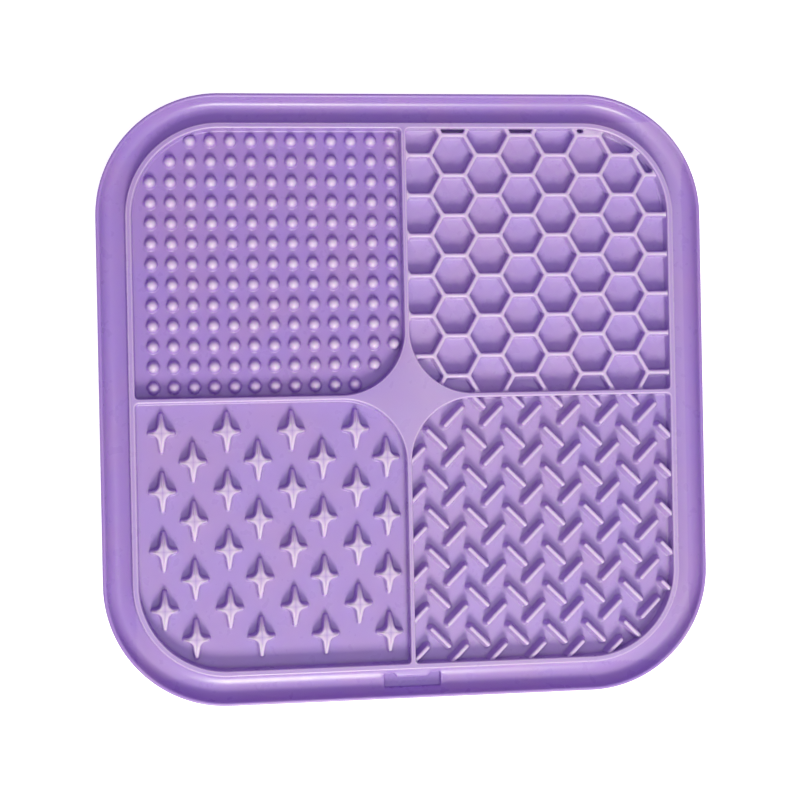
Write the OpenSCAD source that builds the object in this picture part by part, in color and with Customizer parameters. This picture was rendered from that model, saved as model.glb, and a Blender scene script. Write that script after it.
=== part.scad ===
// Lick mat with four textured pockets, a spill gutter round its edge and suction cups below.
// +Z points up out of the pockets, and the cups' rims stand on the plane z = 0.

/* [Mat] */
// Width of the mat, left to right
mat_w = 200; // [170:1:260]
// Depth of the mat, front to back
mat_d = 198; // [170:1:260]
// Radius of the mat's outer corners
corner_r = 40; // [32:1:50]
// Thickness of the sheet below the pockets
sheet_t = 2; // [1.5:0.1:4]
// Radius under the sheet's outer edge
sheet_edge_r = 1.2; // [0.5:0.1:1.4]

/* [Rim] */
// Height of the outer lip above the sheet
lip_h = 5; // [4.5:0.1:8]
// Thickness of the outer lip
lip_w = 1.4; // [1:0.1:2]
// Depth of the gutter below the lip's top, which is also the radius of its outer side
gutter_deep = 3.6; // [3:0.1:4]
// Width of the gutter from the lip to the pocket wall
gutter_w = 8; // [7:0.1:9]
// Radius of the gutter's gentle side, which climbs towards the pocket wall
gutter_climb_r = 8; // [7:0.1:12]

/* [Hook recess in the gutter] */
// Length of the recess along the front edge
recess_l = 18.8; // [16:0.1:30]
// Width of the recess at its two ends
recess_w = 4.9; // [4:0.1:5]
// Gap between the recess and the pocket wall
recess_gap = 1.3; // [1:0.1:2]
// Length of the tab that narrows the recess
recess_tab_l = 12.6; // [8:0.1:14]
// How far the tab stands into the recess
recess_tab_w = 1.3; // [0.8:0.1:2]

/* [Walls] */
// Thickness of the wall round the four pockets
wall_t = 2; // [1.4:0.1:3]
// Height of the wall and of the dividers above the sheet
wall_h = 5; // [4.5:0.1:8]
// Radius of the edges along the wall's top
wall_edge_r = 0.7; // [0.3:0.05:0.7]
// Thickness of the two dividers
divider_t = 1.6; // [1.2:0.1:3]
// Radius of the four hollows that shape the flat star where the dividers cross
plaque_r = 21; // [12:0.5:26]
// Radius of the edges along the dividers' and the star's top
divider_edge_r = 0.5; // [0.2:0.05:0.55]

/* [Dots, left back pocket] */
// Diameter of a dot
dot_dia = 3.2; // [2:0.1:4]
// Height of a dot
dot_h = 2.3; // [2.1:0.1:4]
// Spacing of the dots, left to right
dot_pitch_x = 6.55; // [5.5:0.05:9]
// Spacing of the dots, front to back
dot_pitch_y = 6.65; // [5.5:0.05:9]
// Number of dots along each side of the pattern
dot_count = 13; // [5:1:14]
// Shift of the pattern away from the middle of its pocket, to the right
dot_shift_x = 1.5; // [0:0.1:2]
// Shift of the pattern away from the middle of its pocket, to the front
dot_shift_y = 0.1; // [0:0.1:2]

/* [Honeycomb, right back pocket] */
// Spacing of the cells, middle to middle
cell_pitch = 13.2; // [10:0.1:18]
// Thickness of the cell walls
cell_wall_t = 1.4; // [1:0.1:2]
// Height of the cell walls
cell_h = 3.9; // [2.5:0.1:4.4]
// Shift of the pattern away from the middle of its pocket, to the right
cell_shift_x = 0.5; // [0:0.1:3]
// Shift of the pattern away from the middle of its pocket, to the back
cell_shift_y = 1.9; // [0:0.1:3]
// Hairline between two cell walls where they meet
mitre_gap = 0.05; // [0.04:0.01:0.1]

/* [Stars, left front pocket] */
// Tip to tip height of a star, front to back
star_l = 13; // [9:0.1:15]
// Tip to tip width of a star, left to right
star_w = 8.8; // [8:0.1:13]
// Width of a star's blunt tips
star_tip = 1; // [0.8:0.1:1.4]
// Distance from a star's middle to the corner between two arms, left to right
star_hollow_x = 1.4; // [1:0.05:1.5]
// Distance from a star's middle to the corner between two arms, front to back
star_hollow_y = 0.95; // [0.8:0.05:1.5]
// Radius that softens the corners between a star's arms
star_fillet_r = 2.4; // [0.5:0.1:2.6]
// Height of a star in its middle
star_h = 4.2; // [3.6:0.1:4.4]
// Height of a star at its four tips
star_tip_h = 1.5; // [1:0.1:2.5]
// Distance from a star's middle to where its arms begin to fall
star_flat = 1.4; // [1:0.1:2]
// Number of stars along each side of one of the two nested lattices
star_count = 4; // [2:1:4]
// Gap between the outermost tips and the wall, on the left and in front
star_gap_wall = 3.8; // [2:0.1:5]
// Gap between the outermost tips and the divider on the right
star_gap_right = 2; // [1:0.1:4]
// Gap between the outermost tips and the divider behind
star_gap_back = 3.1; // [2:0.1:5]
// Where the second lattice lies between two stars of the first, as a share from left to right
star_nest = 0.474; // [0.45:0.002:0.55]

/* [Bars, right front pocket] */
// Length of a bar
bar_l = 9.2; // [6:0.1:9.5]
// Thickness of a bar
bar_t = 1.3; // [1:0.1:2]
// Height of a bar
bar_h = 3.9; // [2:0.1:4.4]
// Spacing of the bars that lean the same way
bar_pitch = 13.1; // [12:0.1:18]
// Shift of the pattern away from the middle of its pocket, to the right
bar_shift_x = 0.35; // [0:0.05:1]
// Shift of the pattern away from the middle of its pocket, to the back
bar_shift_y = 0.85; // [0:0.05:1]
// How far the bars of the two leans slip past each other, each way
bar_slip = 0.35; // [0:0.05:0.5]

/* [Suction cups] */
// Diameter of a suction cup's rim
cup_dia = 22; // [16:0.5:28]
// Height of a suction cup
cup_h = 3; // [2.6:0.1:5]
// Diameter of a cup where it joins the sheet
cup_neck_dia = 10; // [7:0.5:13]
// Thickness of a cup's rim
cup_rim_t = 0.5; // [0.4:0.1:0.9]
// Depth of the hollow in a cup
cup_hollow = 1.9; // [1.2:0.1:2]
// Width of the flat ring that touches the table
cup_ring_w = 0.6; // [0.5:0.1:1]
// Spacing of the cups both ways
cup_pitch = 46; // [32:1:48]

/* [Hidden] */

// Colours
body_colour = [0.70, 0.60, 0.82];
texture_colour = [0.66, 0.55, 0.80];
cup_colour = [0.74, 0.66, 0.86];

// Facets on curves
round_fn = 96;
small_fn = 24;
dome_fn = 360;

// Suction cups along each side, each with a node of its own
cup_count = 4;

// Heights
sheet_bottom = cup_h;
floor_z = sheet_bottom + sheet_t;

// Distances from the mat's outer edge
wall_inset = lip_w + gutter_w;
pocket_inset = wall_inset + wall_t;

// Half sizes of the whole pocket area, and the middle of one pocket
pocket_x = mat_w / 2 - pocket_inset;
pocket_y = mat_d / 2 - pocket_inset;
middle_x = (pocket_x + divider_t / 2) / 2;
middle_y = (pocket_y + divider_t / 2) / 2;
pocket_corner_r = corner_r - pocket_inset;

// Spacing of the stars, so that both lattices just fill their pocket
star_room_x = pocket_x - divider_t / 2 - star_gap_wall - star_gap_right;
star_room_y = pocket_y - divider_t / 2 - star_gap_wall - star_gap_back;
star_pitch_x = (star_room_x - star_w) / (star_count - 1 + star_nest);
star_pitch_y = (star_room_y - star_l) / (star_count - 1 + 0.5);

// How far a cutting shape reaches past what it cuts
past = 1;

// Outlines

// Rectangle with round corners, centred on the origin
module round_rect(w, d, r) {
    square([w - 2 * r, d], center = true);
    square([w, d - 2 * r], center = true);
    for (sx = [-1, 1], sy = [-1, 1])
        translate([sx * (w / 2 - r), sy * (d / 2 - r)]) circle(r = r, $fn = round_fn);
}

// The mat's outline drawn in by a distance
module mat_outline(inset) {
    round_rect(mat_w - 2 * inset, mat_d - 2 * inset, corner_r - inset);
}

// One pocket's outline in the back right quarter
module pocket_outline() {
    start = divider_t / 2;
    hollow = start + plaque_r;
    difference() {
        intersection() {
            mat_outline(pocket_inset);
            translate([start, start]) square([pocket_x, pocket_y]);
        }
        difference() {
            translate([start - past, start - past]) square(plaque_r + past);
            translate([hollow, hollow]) circle(r = plaque_r, $fn = round_fn);
        }
    }
}

// Carries a profile round the mat: x runs out from the corners' centres, and y runs up
module sweep_round_mat() {
    run_x = mat_w - 2 * corner_r;
    run_y = mat_d - 2 * corner_r;
    for (turn = [0 : 3]) {
        long = turn % 2 == 0 ? run_y : run_x;
        out = turn % 2 == 0 ? run_x / 2 : run_y / 2;
        rotate([0, 0, 90 * turn]) {
            translate([out, long / 2, 0]) rotate([90, 0, 0]) linear_extrude(long) children();
            translate([out, long / 2, 0]) rotate_extrude(angle = 90, $fn = round_fn) children();
        }
    }
}

// Tests on places in the back right pocket

// How deep a point lies inside one pocket's outline, negative outside
function depth_at_corner(p, c, r, way) =
    (way * (p[0] - c[0]) > 0 && way * (p[1] - c[1]) > 0) ? r - norm(p - c) : 1000;
function depth_inside(p) = min(
    p[0] - divider_t / 2,
    p[1] - divider_t / 2,
    pocket_x - p[0],
    pocket_y - p[1],
    depth_at_corner(p, [pocket_x - pocket_corner_r, pocket_y - pocket_corner_r], pocket_corner_r, 1),
    depth_at_corner(p, [1, 1] * (divider_t / 2 + plaque_r), plaque_r, -1));

// The share of a straight piece's middle line that lies inside one pocket's outline
samples = 16;
function share_inside(p, along) =
    len([for (i = [0 : samples]) if (depth_inside(p + along * (i / samples - 0.5)) > 0) i]) / samples;

// Moves a shape from the back right quarter to the quarter with signs sx and sy
module to_quarter(sx, sy) {
    mirror([sx < 0 ? 1 : 0, 0, 0]) mirror([0, sy < 0 ? 1 : 0, 0]) children();
}

// Sheet, rim and walls

// Flat sheet under everything, with a rounded lower edge
module base_sheet() {
    color(body_colour)
    translate([0, 0, sheet_bottom]) {
        linear_extrude(sheet_t) mat_outline(sheet_edge_r);
        sweep_round_mat() sheet_edge_profile();
    }
}

// Edge of the sheet: round below, square above
module sheet_edge_profile() {
    centre = corner_r - sheet_edge_r;
    translate([centre, sheet_edge_r]) square([sheet_edge_r, sheet_t - sheet_edge_r]);
    intersection() {
        translate([centre, sheet_edge_r]) circle(r = sheet_edge_r, $fn = small_fn);
        translate([centre, 0]) square(sheet_edge_r);
    }
}

// Lip and gutter in one section: a round-topped lip, a steep side, a bottom and a gentle climb
module gutter_profile() {
    lowest = corner_r - lip_w - gutter_deep;
    inner = corner_r - wall_inset;
    bottom = lip_h - gutter_deep;
    difference() {
        translate([inner, 0]) square([wall_inset - lip_w / 2, lip_h]);
        translate([lowest, lip_h]) circle(r = gutter_deep, $fn = round_fn);
        intersection() {
            translate([lowest, bottom + gutter_climb_r]) circle(r = gutter_climb_r, $fn = round_fn);
            translate([inner - past, 0]) square([lowest - inner + past, 2 * gutter_climb_r]);
        }
        translate([inner - past, lip_h - lip_w / 2]) square([wall_inset - lip_w + past, lip_w]);
        translate([corner_r - lip_w, lip_h - lip_w / 2]) square([lip_w / 2, lip_w]);
    }
    translate([corner_r - lip_w / 2, 0]) square([lip_w / 2, lip_h - lip_w / 2]);
    translate([corner_r - lip_w / 2, lip_h - lip_w / 2]) circle(r = lip_w / 2, $fn = small_fn);
}

// Lip and gutter round the mat, with the hook recess in the front run
module gutter_rim() {
    color(body_colour)
    difference() {
        translate([0, 0, floor_z]) sweep_round_mat() gutter_profile();
        translate([0, wall_inset - recess_gap - mat_d / 2, floor_z - past])
            linear_extrude(lip_h + 2 * past) hook_recess();
    }
}

// Outline of the recess, with its inner edge on the x axis and its width towards the front
module hook_recess() {
    difference() {
        translate([-recess_l / 2, -recess_w]) square([recess_l, recess_w]);
        recess_tab();
    }
}

// Tab with slanted ends that narrows the recess from the pocket wall's side
module recess_tab() {
    polygon([[-recess_tab_l / 2, 0], [recess_tab_l / 2, 0],
             [recess_tab_l / 2 - recess_tab_w, -recess_tab_w],
             [recess_tab_w - recess_tab_l / 2, -recess_tab_w]]);
}

// Wall round the four pockets, with both top edges rounded
module pocket_wall() {
    inner = corner_r - pocket_inset;
    edge = wall_edge_r;
    color(body_colour)
    translate([0, 0, floor_z]) sweep_round_mat() translate([inner, 0]) {
        square([wall_t, wall_h - edge]);
        translate([edge, 0]) square([wall_t - 2 * edge, wall_h]);
        for (x = [edge, wall_t - edge])
            translate([x, wall_h - edge]) circle(r = edge, $fn = small_fn);
    }
}

// Seen from above: two crossing dividers with the flat concave star in their middle
module cross_outline() {
    star = divider_t + 2 * plaque_r;
    square([2 * pocket_x, divider_t], center = true);
    square([divider_t, 2 * pocket_y], center = true);
    difference() {
        square(star, center = true);
        for (sx = [-1, 1], sy = [-1, 1])
            translate([sx, sy] * star / 2) circle(r = plaque_r, $fn = round_fn);
    }
}

// What a rounded edge takes off a sharp one whose solid lies to the right of x = 0, below y = 0
module edge_cut() {
    edge = divider_edge_r;
    difference() {
        translate([-edge, -edge]) square(2 * edge);
        translate([edge, -edge]) circle(r = edge, $fn = small_fn);
    }
}

// The edge cut carried along the dividers and the star round the back right pocket
module cross_edge_cuts() {
    start = divider_t / 2;
    hollow = start + plaque_r;
    long = max(pocket_x, pocket_y) - hollow + past;
    for (swap = [0, 1]) mirror([swap, -swap, 0])
        translate([hollow, start, 0]) rotate([90, 0, 90])
            linear_extrude(long) mirror([1, 0, 0]) edge_cut();
    translate([hollow, hollow, 0]) rotate([0, 0, 180])
        rotate_extrude(angle = 90, $fn = round_fn) translate([plaque_r, 0]) edge_cut();
}

// Dividers and star as one solid with rounded top edges
module cross_divider() {
    color(body_colour)
    difference() {
        translate([0, 0, floor_z]) linear_extrude(wall_h) cross_outline();
        translate([0, 0, floor_z + wall_h])
        for (sx = [-1, 1], sy = [-1, 1]) to_quarter(sx, sy) cross_edge_cuts();
    }
}

// Textures

// One round-topped dot
module dot() {
    r = dot_dia / 2;
    rotate_extrude($fn = small_fn) {
        square([r, dot_h - r]);
        translate([0, dot_h - r]) intersection() {
            circle(r = r, $fn = small_fn);
            square(r);
        }
    }
}

// Square lattice of dots that leaves out those on the round corners
module dot_field() {
    reach = (dot_count - 1) / 2;
    least_gap = 0.2;
    seat = dot_dia / 2 + least_gap;
    color(texture_colour)
    for (i = [-reach : reach], j = [-reach : reach]) {
        p = [middle_x - dot_shift_x + i * dot_pitch_x, middle_y - dot_shift_y + j * dot_pitch_y];
        if (depth_inside(p) > seat) translate([-p[0], p[1], floor_z]) dot();
    }
}

// One cell wall seen from above, with mitred ends where three of them meet
module cell_wall() {
    half = (cell_pitch / sqrt(3) - mitre_gap / sin(60)) / 2;
    shoulder = half - cell_wall_t / (2 * sqrt(3));
    side = cell_wall_t / 2;
    polygon([[half, 0], [shoulder, side], [-shoulder, side],
             [-half, 0], [-shoulder, -side], [shoulder, -side]]);
}

// Honeycomb of upright cell walls, cut off where it meets the pocket's edge
module honeycomb_net() {
    column = cell_pitch * sqrt(3) / 2;
    least_share = 0.25;
    across = ceil(middle_x / column);
    up = ceil(middle_y / cell_pitch);
    color(texture_colour)
    translate([0, 0, floor_z])
    for (i = [-across : across], j = [-up : up], side = [30, 90, 150]) {
        cell = [middle_x + cell_shift_x + (i + 0.5) * column,
                middle_y + cell_shift_y + (j + (i % 2 == 0 ? 0 : 0.5)) * cell_pitch];
        p = cell + cell_pitch / 2 * [cos(side), sin(side)];
        along = cell_pitch / sqrt(3) * [-sin(side), cos(side)];
        if (share_inside(p, along) > least_share)
            linear_extrude(cell_h) intersection() {
                translate(p) rotate(side + 90) cell_wall();
                pocket_outline();
            }
    }
}

// Fills the corner between the lines to two far points with a fillet, from the origin outwards
module filleted_corner(corner, far_a, far_b, r) {
    way_a = (far_a - corner) / norm(far_a - corner);
    way_b = (far_b - corner) / norm(far_b - corner);
    half_angle = acos(way_a * way_b) / 2;
    reach = r / tan(half_angle);
    middle = (way_a + way_b) / norm(way_a + way_b);
    difference() {
        polygon([[0, 0], corner + reach * way_a, corner + reach * way_b]);
        translate(corner + middle * r / sin(half_angle)) circle(r = r, $fn = small_fn);
    }
}

// Outline of a four-pointed star with tapered arms and softened corners between them
module star_outline() {
    tip_up = [star_tip / 2, star_l / 2];
    tip_side = [star_w / 2, star_tip / 2];
    corner = [star_hollow_x, star_hollow_y];
    quarter = [[0, star_l / 2], tip_up, corner, tip_side, [star_w / 2, 0], [0, 0]];
    for (sx = [-1, 1], sy = [-1, 1]) to_quarter(sx, sy) {
        polygon(quarter);
        filleted_corner(corner, tip_up, tip_side, star_fillet_r);
    }
}

// Block whose lower side falls from the star's flat top to the height of a tip on the right
module star_end_cut(flat, half) {
    big = 2 * star_l;
    translate([flat, -big / 2, star_h]) rotate([0, atan((star_h - star_tip_h) / (half - flat)), 0])
        cube(big);
}

// One star: a small flat top in the middle, from where its arms fall to the four tips
module star() {
    difference() {
        linear_extrude(star_h) star_outline();
        for (turn = [0, 180]) rotate([0, 0, turn]) {
            star_end_cut(star_flat, star_w / 2);
            rotate([0, 0, 90]) star_end_cut(star_flat, star_l / 2);
        }
    }
}

// Two nested lattices of stars, the second further right and half a pitch further to the front
module star_field() {
    first_x = star_gap_wall + star_w / 2 - pocket_x;
    first_y = -divider_t / 2 - star_gap_back - star_l / 2;
    color(texture_colour)
    for (nest = [[0, 0], [star_nest, 0.5]])
        for (i = [0 : star_count - 1], j = [0 : star_count - 1])
            translate([first_x + (i + nest[0]) * star_pitch_x,
                       first_y - (j + nest[1]) * star_pitch_y,
                       floor_z]) star();
}

// One bar with round ends seen from above
module bar() {
    run = bar_l - bar_t;
    square([run, bar_t], center = true);
    for (x = [-run / 2, run / 2]) translate([x, 0]) circle(d = bar_t, $fn = small_fn);
}

// Herringbone of bars that lean by turns to either side, cut off at the pocket's edge
module bar_field() {
    least_share = 0.3;
    across = ceil(middle_x / bar_pitch);
    up = ceil(middle_y / bar_pitch);
    color(texture_colour)
    translate([0, 0, floor_z])
    mirror([0, 1, 0])
    for (i = [-across : across], j = [-up : up], lean = [-1, 1]) {
        p = [middle_x + bar_shift_x + (i + 0.25 * lean) * bar_pitch + lean * bar_slip,
             middle_y - bar_shift_y + (j - 0.25 * lean) * bar_pitch + lean * bar_slip];
        along = bar_l * [cos(45), lean * sin(45)];
        if (share_inside(p, along) > least_share)
            linear_extrude(bar_h) intersection() {
                translate(p) rotate(45 * lean) bar();
                pocket_outline();
            }
    }
}

// Suction cups

// One cup: a neck that spreads into a thin rim, with a shallow domed hollow below
module suction_cup(column, row) {
    rim = cup_dia / 2;
    mouth = rim - cup_ring_w;
    dome = (mouth * mouth + cup_hollow * cup_hollow) / (2 * cup_hollow);
    color(cup_colour)
    translate([(column - (cup_count + 1) / 2) * cup_pitch,
               ((cup_count + 1) / 2 - row) * cup_pitch, 0])
    rotate_extrude($fn = round_fn) difference() {
        polygon([[0, 0], [rim, 0], [rim, cup_rim_t], [cup_neck_dia / 2, cup_h], [0, cup_h]]);
        translate([0, cup_hollow - dome]) circle(r = dome, $fn = dome_fn);
    }
}

base_sheet();
gutter_rim();
pocket_wall();
cross_divider();
dot_field();
honeycomb_net();
star_field();
bar_field();
suction_cup(1, 1);  // suction_cup_11
suction_cup(2, 1);  // suction_cup_12
suction_cup(3, 1);  // suction_cup_13
suction_cup(4, 1);  // suction_cup_14
suction_cup(1, 2);  // suction_cup_21
suction_cup(2, 2);  // suction_cup_22
suction_cup(3, 2);  // suction_cup_23
suction_cup(4, 2);  // suction_cup_24
suction_cup(1, 3);  // suction_cup_31
suction_cup(2, 3);  // suction_cup_32
suction_cup(3, 3);  // suction_cup_33
suction_cup(4, 3);  // suction_cup_34
suction_cup(1, 4);  // suction_cup_41
suction_cup(2, 4);  // suction_cup_42
suction_cup(3, 4);  // suction_cup_43
suction_cup(4, 4);  // suction_cup_44
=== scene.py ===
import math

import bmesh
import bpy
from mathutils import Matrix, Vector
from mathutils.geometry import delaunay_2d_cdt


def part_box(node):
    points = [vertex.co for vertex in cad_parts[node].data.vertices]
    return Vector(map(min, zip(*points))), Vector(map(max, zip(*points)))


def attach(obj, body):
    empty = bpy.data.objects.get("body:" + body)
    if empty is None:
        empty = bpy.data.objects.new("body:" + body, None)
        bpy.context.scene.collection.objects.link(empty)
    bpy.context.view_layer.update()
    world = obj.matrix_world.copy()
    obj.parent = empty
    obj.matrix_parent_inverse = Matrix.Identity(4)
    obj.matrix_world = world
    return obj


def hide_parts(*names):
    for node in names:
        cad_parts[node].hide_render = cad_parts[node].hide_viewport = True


bl_info = {
    "name": "Lick mat",
    "version": (1, 0, 0),
    "blender": (4, 5, 0),
    "location": "3D View > Sidebar > Lick mat",
    "description": "Dresses the packed lick mat: four textured pockets, a spill gutter and suction cups",
    "category": "Object",
}

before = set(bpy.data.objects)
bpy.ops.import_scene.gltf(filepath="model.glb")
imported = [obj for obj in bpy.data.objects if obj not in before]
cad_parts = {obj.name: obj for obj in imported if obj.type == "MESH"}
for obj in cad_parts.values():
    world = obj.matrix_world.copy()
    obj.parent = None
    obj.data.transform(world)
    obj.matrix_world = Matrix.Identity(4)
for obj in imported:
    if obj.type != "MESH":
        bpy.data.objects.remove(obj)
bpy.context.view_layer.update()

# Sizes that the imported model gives

MM = 0.001
SHEET_LOW, SHEET_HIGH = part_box("base_sheet")
WALL_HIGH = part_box("pocket_wall")[1]
FLOOR_Z = SHEET_HIGH.z
HALF_W, HALF_D = SHEET_HIGH.x, SHEET_HIGH.y
WALL_INSET = HALF_W - WALL_HIGH.x
BODY_SLOT = "lavender_silicone"
CUP_SLOT = "cup_silicone"
CUP_NODES = sorted(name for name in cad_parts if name.startswith("suction_cup"))

# Fine shape of the moulding's edges

SINK = 0.3 * MM  # how far a raised piece reaches down into what carries it
DEEP_SINK = 1 * MM  # the same where it has a floor of its own, so that light scatters in it as in the sheet
LIFT = 0.004 * MM  # how far its flat skirt lies above the floor
SKIRT = 0.12 * MM  # width of that skirt
LAST_LOOP = 0.04 * MM  # how far in from the round edge the last loop of a flat top lies
RIB_CREST = 0.08 * MM  # half width of the flat crest that a thin rib keeps between its round edges
ARC_STEPS = 5  # steps in a round edge or foot
FINE = 0.6 * MM  # spacing of the points along a round outline
FEWEST_STEPS = 3  # steps in even the smallest rounded corner
SHORTEST_SIDE = 1e-7  # sides of a polygon that are shorter are passed over
SHORTEST_STEP = 1e-6  # centres of rounded corners that are closer count as one
NEARLY_ZERO = 1e-9
SAME_PLACE = 0.0005 * MM  # points that are closer are joined
SHARP_FOLD = math.radians(50)  # folds from this angle on stay sharp
QUARTERS = ((1, 1), (-1, 1), (-1, -1), (1, -1))  # signs of x and y in each pocket

# Painted sheen and highlights, which make the silicone paler where light falls

SHEEN_ATTRIBUTE = "painted_sheen"  # name of the point value that paints sheen and highlights: it makes the silicone paler
GROUND_SHEEN = 0.17  # painted sheen of the lit flats in the mat's right half, from 0 to 1
GROUND_SHEEN_LEFT = 1 * MM - WALL_HIGH.x
GROUND_SHEEN_RIGHT = WALL_HIGH.x + 4 * MM  # part of the gutter gets the painted sheen here too
GROUND_SHEEN_REACH = WALL_HIGH.y + 0.5 * MM  # to the front and to the back


def painted_ground_sheen(x, y):
    """Painted sheen within those bounds, standing in for the key light's sheen on lit flats: full on the
    right, half of it in the left front quarter, else none.
    """
    if not GROUND_SHEEN_LEFT < x < GROUND_SHEEN_RIGHT or abs(y) >= GROUND_SHEEN_REACH:
        return 0
    if x > 0:
        return GROUND_SHEEN
    return GROUND_SHEEN / 2 if y < 0 else 0


def height_above_floor(node):
    """Height of a node's top above the pockets' floor."""
    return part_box(node)[1].z - FLOOR_Z


def length(name, description, mm):
    """A length that a user can change, in metres."""
    return bpy.props.FloatProperty(
        name=name, description=description, default=mm * MM, min=0.0, precision=5, unit="LENGTH")


def tint(name, description, red, green, blue):
    """A colour that a user can change, from the red, green and blue that show on a screen."""
    def linear(value):
        """The light in one channel, by the curve that screens use."""
        part = value / 255
        return part / 12.92 if part <= 0.04045 else ((part + 0.055) / 1.055) ** 2.4
    return bpy.props.FloatVectorProperty(
        name=name, description=description, subtype="COLOR", size=3, min=0.0, max=1.0,
        default=(linear(red), linear(green), linear(blue)))


def share(name, description, value):
    """A share from 0 to 1 that a user can change."""
    return bpy.props.FloatProperty(
        name=name, description=description, default=value, min=0.0, max=1.0, subtype="FACTOR")


class RimSizes(bpy.types.PropertyGroup):
    """Sizes of the sheet, the lip, the gutter and the hook recess."""
    corner: length("Corner", "Radius of the mat's outer corners", 40)
    sheet_edge: length("Sheet edge", "Radius under the sheet's outer edge", 1.2)
    lip: length("Lip", "Thickness of the outer lip", 1.4)
    deep: length("Gutter depth", "Depth of the gutter below the lip's top", 3.6)
    climb: length("Gutter climb", "Radius of the gutter's gentle side", 8)
    fillet: length("Gutter fillet", "Radius where the gutter runs up into the wall", 0.8)
    recess_length: length("Recess length", "Length of the hook recess", 18.8)
    recess_width: length("Recess width", "Width of the hook recess", 4.9)
    recess_gap: length("Recess gap", "Distance of the recess from the pocket wall", 1.3)
    tab_length: length("Tab length", "Length of the tab that narrows the recess", 12.6)
    tab_width: length("Tab width", "How far the tab stands into the recess", 1.3)


class WallSizes(bpy.types.PropertyGroup):
    """Sizes of the wall, the dividers and the star where they cross."""
    wall: length("Wall", "Thickness of the wall round the pockets", 2)
    divider: length("Divider", "Thickness of the two dividers", 1.6)
    plaque: length("Star hollow", "Radius of the four hollows of the flat star", 21)
    edge: length("Top edge", "Radius along the top edges", 0.55)
    foot: length("Foot", "Radius where a wall meets the floor", 0.7)
    inner_corner: length("Pocket corner", "Radius of a pocket's corner beside a divider", 1.2)


class TextureSizes(bpy.types.PropertyGroup):
    """Sizes and spacings of the four textures."""
    foot: length("Foot", "Radius where a texture meets the floor", 0.5)
    dot: length("Dot", "Diameter of a dot", 3.2)
    dot_pitch_x: length("Dot spacing across", "Spacing of the dots, left to right", 6.55)
    dot_pitch_y: length("Dot spacing along", "Spacing of the dots, front to back", 6.65)
    dot_shift_x: length("Dot shift across", "Shift of the dots to the right in their pocket", 1.5)
    dot_shift_y: length("Dot shift along", "Shift of the dots to the front in their pocket", 0.1)
    cell_pitch: length("Cell spacing", "Spacing of the honeycomb's cells", 13.2)
    cell_wall: length("Cell wall", "Thickness of the honeycomb's walls", 1.4)
    cell_shift_x: length("Cell shift across", "Shift of the honeycomb to the right in its pocket", 0.5)
    cell_shift_y: length("Cell shift along", "Shift of the honeycomb to the back in its pocket", 1.9)
    cell_corner: length("Cell corner", "Radius in a cell's corners", 1.0)
    cell_dish: length("Cell dish", "How far a cell's floor rises from its middle to its walls", 0.35)
    star_length: length("Star length", "Tip to tip height of a star", 13)
    star_width: length("Star width", "Tip to tip width of a star", 8.8)
    star_tip: length("Star tip", "Width of a star's tips", 1.0)
    star_hollow_x: length("Star hollow across", "Distance across from the middle to where arms meet", 1.4)
    star_hollow_y: length("Star hollow along", "Distance along from the middle to where arms meet", 0.95)
    star_fillet: length("Star fillet", "Radius in the corner between two arms", 2)
    star_edge: length("Star edge", "Radius along a star's top edges", 0.75)
    star_tip_height: length("Star tip height", "Height of a star at its four tips", 1.5)
    star_flat: length("Star flat", "Distance from a star's middle to where its arms start to fall", 1.4)
    star_gap_wall: length("Star gap to the wall", "Gap from the outermost tips to the wall", 3.8)
    star_gap_right: length("Star gap on the right", "Gap from the outermost tips to the divider beside", 2)
    star_gap_back: length("Star gap behind", "Gap from the outermost tips to the divider behind", 3.1)
    star_nest: share("Star nesting", "Where the second lattice lies between two stars of the first", 0.474)
    bar_length: length("Bar length", "Length of a bar", 9.2)
    bar: length("Bar thickness", "Thickness of a bar", 1.3)
    bar_pitch: length("Bar spacing", "Spacing of bars that lean the same way", 13.1)
    bar_shift_x: length("Bar shift across", "Shift of the bars to the right in their pocket", 0.35)
    bar_shift_y: length("Bar shift along", "Shift of the bars to the back in their pocket", 0.85)
    bar_slip: length("Bar slip", "How far the two leans slip past each other, each way", 0.35)


class CupSizes(bpy.types.PropertyGroup):
    """Sizes of the suction cups."""
    neck: length("Neck", "Diameter where a cup joins the sheet", 10)
    rim: length("Rim", "Thickness of a cup's rim", 0.5)
    hollow: length("Hollow", "Depth of the hollow in a cup", 1.9)
    ring: length("Ring", "Width of the flat ring on the table", 0.6)


class MatFinish(bpy.types.PropertyGroup):
    """Colours and gloss of the silicone."""
    body: tint("Mat", "Colour of the moulding", 163, 134, 208)
    body_warm: tint("Mat, warm patches", "Colour of the faint warm patches", 168, 136, 203)
    # Pale colour of the painted sheen on lit flats and of the painted highlights on crests
    painted_sheen_colour: tint("Mat, crests", "Colour of the pale bloom on raised crests", 224, 210, 232)
    cup: tint("Cups", "Colour of the suction cups", 196, 176, 224)
    floor: tint("Floor", "Colour of the floor under the mat", 240, 240, 242)
    roughness: share("Roughness", "Roughness of the silicone", 0.28)
    grain: share("Grain", "Strength of the silicone's fine matt grain", 0.25)


# Outlines: each point keeps the circle it lies on, so an outline can be drawn further in or out

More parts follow.
